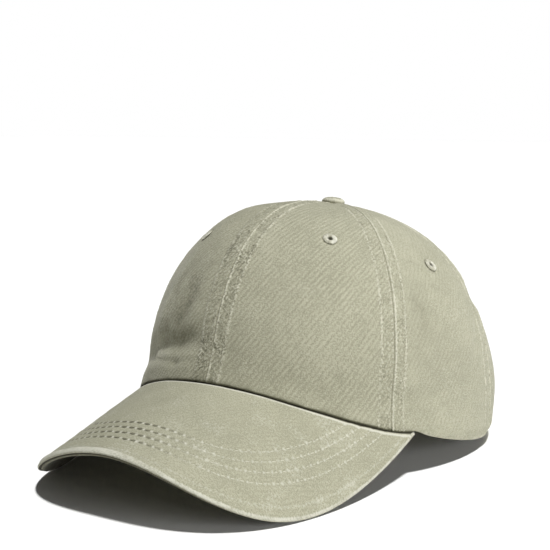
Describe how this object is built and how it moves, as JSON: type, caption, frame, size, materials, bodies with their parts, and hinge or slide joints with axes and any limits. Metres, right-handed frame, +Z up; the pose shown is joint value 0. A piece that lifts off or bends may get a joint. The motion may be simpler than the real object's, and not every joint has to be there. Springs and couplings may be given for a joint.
{
  "type": "ponytail baseball cap",
  "caption": "Six-panel washed cotton cap with a curved peak, a ponytail slit and an arch with a buckled size strap at the back.",
  "frame": {"origin": "on the table, under the middle of the cap's box", "axes": "+Z up from the table, -Y towards the tip of the peak, +X towards the wearer's left"},
  "size_m": [0.1716, 0.2578, 0.1199],
  "materials": {
    "twill": "washed cotton twill, matt, sage to khaki, paler along seams and edges",
    "binding": "washed cotton tape, matt, pale along its folded edges",
    "band": "plain matt cotton",
    "thread": "close satin stitching, slight sheen",
    "brass": "dulled antique brass"
  },
  "bodies": {
    "root": {"panel_front_left": "twill", "eyelet_front_left": "thread", "panel_side_left": "twill", "eyelet_side_left": "thread", "panel_back_left": "twill", "eyelet_back_left": "thread", "panel_front_right": "twill", "eyelet_front_right": "thread", "panel_side_right": "twill", "eyelet_side_right": "thread", "panel_back_right": "twill", "eyelet_back_right": "thread", "peak": "twill", "sweatband": "band", "top_button": "twill", "arch_binding": "binding", "slit_binding": "binding", "strap": "binding", "buckle": "brass", "buckle_tab": "binding"}
  },
  "joints": []
}
